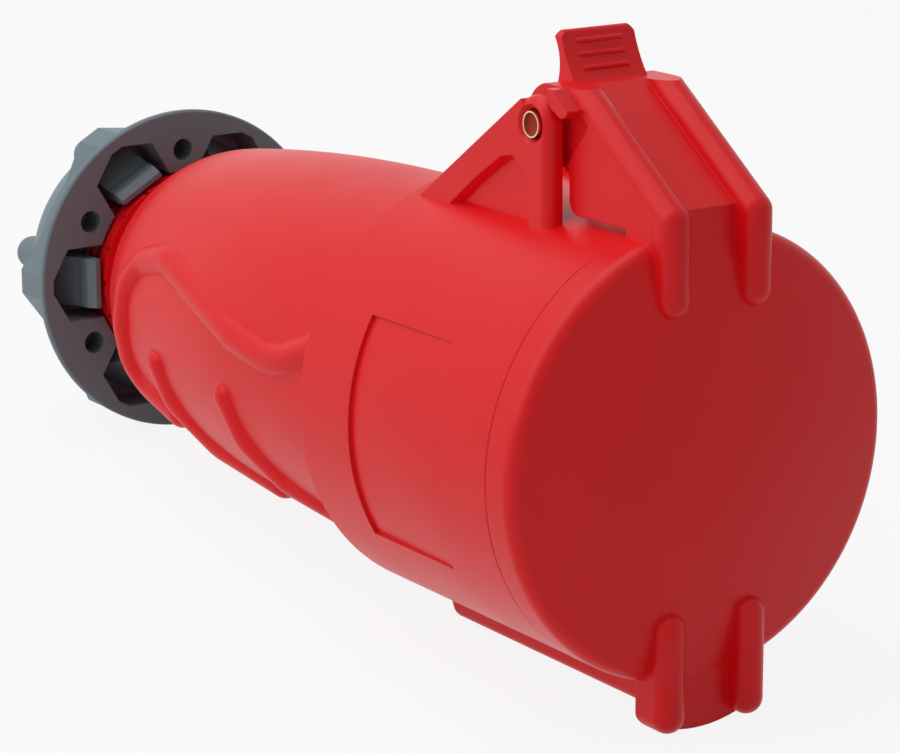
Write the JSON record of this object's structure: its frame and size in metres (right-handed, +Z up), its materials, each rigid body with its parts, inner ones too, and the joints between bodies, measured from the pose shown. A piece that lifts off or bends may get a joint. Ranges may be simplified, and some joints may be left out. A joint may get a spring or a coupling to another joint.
{
  "type": "industrial cable coupler",
  "caption": "Round cable coupler with a sprung hinged lid, keyed contact face, ribbed tapered grip and a screwed cable gland nut.",
  "frame": {"origin": "on the coupler's axis at the contact carrier's front face, where the plug's collar seats round it", "axes": "+Y along the axis to the cable end, +Z up through the lid's hinge, X across; the plug leaves along -Y"},
  "size_m": [0.084, 0.2207, 0.1238],
  "materials": {
    "red_plastic": "fine satin moulding",
    "grey_plastic": "satin moulding",
    "carrier_plastic": "satin moulding",
    "contact_brass": "bright turned",
    "pin_brass": "bright tube",
    "steel": "zinc plated",
    "seal_rubber": "matt"
  },
  "bodies": {
    "housing_body": {"front_housing": "red_plastic", "contact_carrier": "carrier_plastic", "contact_face": "carrier_plastic", "contact_wells": "carrier_plastic", "terminal_block": "carrier_plastic", "carrier_rear_plate": "carrier_plastic", "rear_plate_screw": "steel", "contact_earth": "contact_brass", "contact_line_1": "contact_brass", "contact_line_2": "contact_brass", "contact_line_3": "contact_brass", "contact_neutral": "contact_brass", "contact_clips": "steel", "terminal_screws": "steel", "carrier_screws": "steel", "hinge_pin": "pin_brass", "lid_spring": "steel", "housing_seal": "seal_rubber", "rear_grip": "red_plastic", "gland_seal": "seal_rubber", "clamping_cage": "carrier_plastic"},
    "lid": {"hinged_lid": "red_plastic", "lid_gasket": "seal_rubber"},
    "gland_carriage": {"slip_ring": "carrier_plastic"},
    "gland": {"gland_nut": "grey_plastic"}
  },
  "joints": [
    {"name": "lid_hinge", "type": "hinge", "parent": "housing_body", "child": "lid", "pos_m": [0, 0.01745, 0.0573], "axis": [-1, 0, 0], "range_deg": [0, 95], "stiffness_Nm_per_rad": 0.08, "springref_deg": -143.24, "deforming": ["lid_spring"]},
    {"name": "gland_advance", "type": "slide", "parent": "housing_body", "child": "gland_carriage", "axis": [0, 1, 0], "range_m": [0, 0.0121]},
    {"name": "gland_turn", "type": "hinge", "parent": "gland_carriage", "child": "gland", "pos_m": [0, 0.19, 0], "axis": [0, 1, 0], "range_deg": [0, 1080]}
  ],
  "couplings": [
    {"joint": "gland_advance", "follows": "gland_turn", "m_per_rad": 0.00063662}
  ]
}
